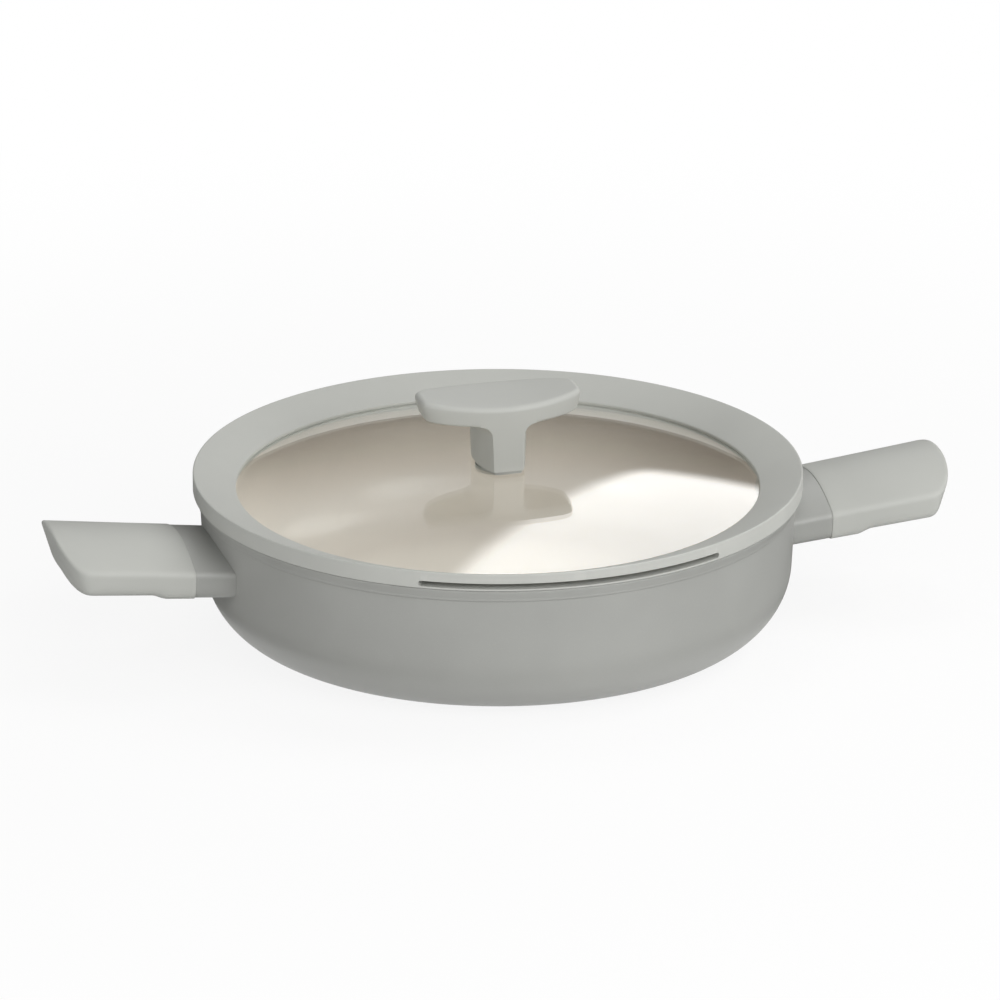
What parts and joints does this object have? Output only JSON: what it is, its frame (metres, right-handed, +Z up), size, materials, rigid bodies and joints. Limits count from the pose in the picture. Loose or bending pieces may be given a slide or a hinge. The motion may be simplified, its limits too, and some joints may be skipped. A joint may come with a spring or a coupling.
{
  "type": "saute pan with lid",
  "caption": "Deep round saute pan with short side grips on riveted brackets and a lift-off domed glass lid in a soft rim with a pouring slit and a bridge knob.",
  "frame": {"origin": "on the axis of the pan, in the plane of the steel disc that it stands on", "axes": "+X along the handles, to the right one; +Y to the back, away from the pouring slit; +Z up"},
  "size_m": [0.4476, 0.296, 0.1202],
  "materials": {
    "pan_coating": "matte grey coating outside, pale taupe non-stick coating inside",
    "bracket_coating": "matte grey coating",
    "base_disc": "brushed in circles",
    "fastener_steel": "satin",
    "grip_soft": "soft touch",
    "rim_soft": "matte silicone",
    "lid_glass": "clear, tempered",
    "knob_soft": "soft touch",
    "insert_brass": "turned",
    "seal_silicone": "matte silicone"
  },
  "bodies": {
    "pan": {"pan_shell": "pan_coating", "induction_base": "base_disc", "left_bracket": "bracket_coating", "right_bracket": "bracket_coating", "left_rivets": "fastener_steel", "right_rivets": "fastener_steel", "left_grip": "grip_soft", "right_grip": "grip_soft", "left_grip_screw": "fastener_steel", "right_grip_screw": "fastener_steel", "left_spring_washer": "fastener_steel", "right_spring_washer": "fastener_steel"},
    "lid": {"lid_rim": "rim_soft", "lid_glass": "lid_glass", "lid_knob": "knob_soft", "knob_insert": "insert_brass", "knob_seal": "seal_silicone", "glass_grommet": "seal_silicone", "knob_washer": "fastener_steel", "knob_screw": "fastener_steel"}
  },
  "joints": [
    {"name": "lid_lift", "type": "slide", "parent": "pan", "child": "lid", "axis": [0, 0, 1], "range_m": [0, 0.15]}
  ]
}
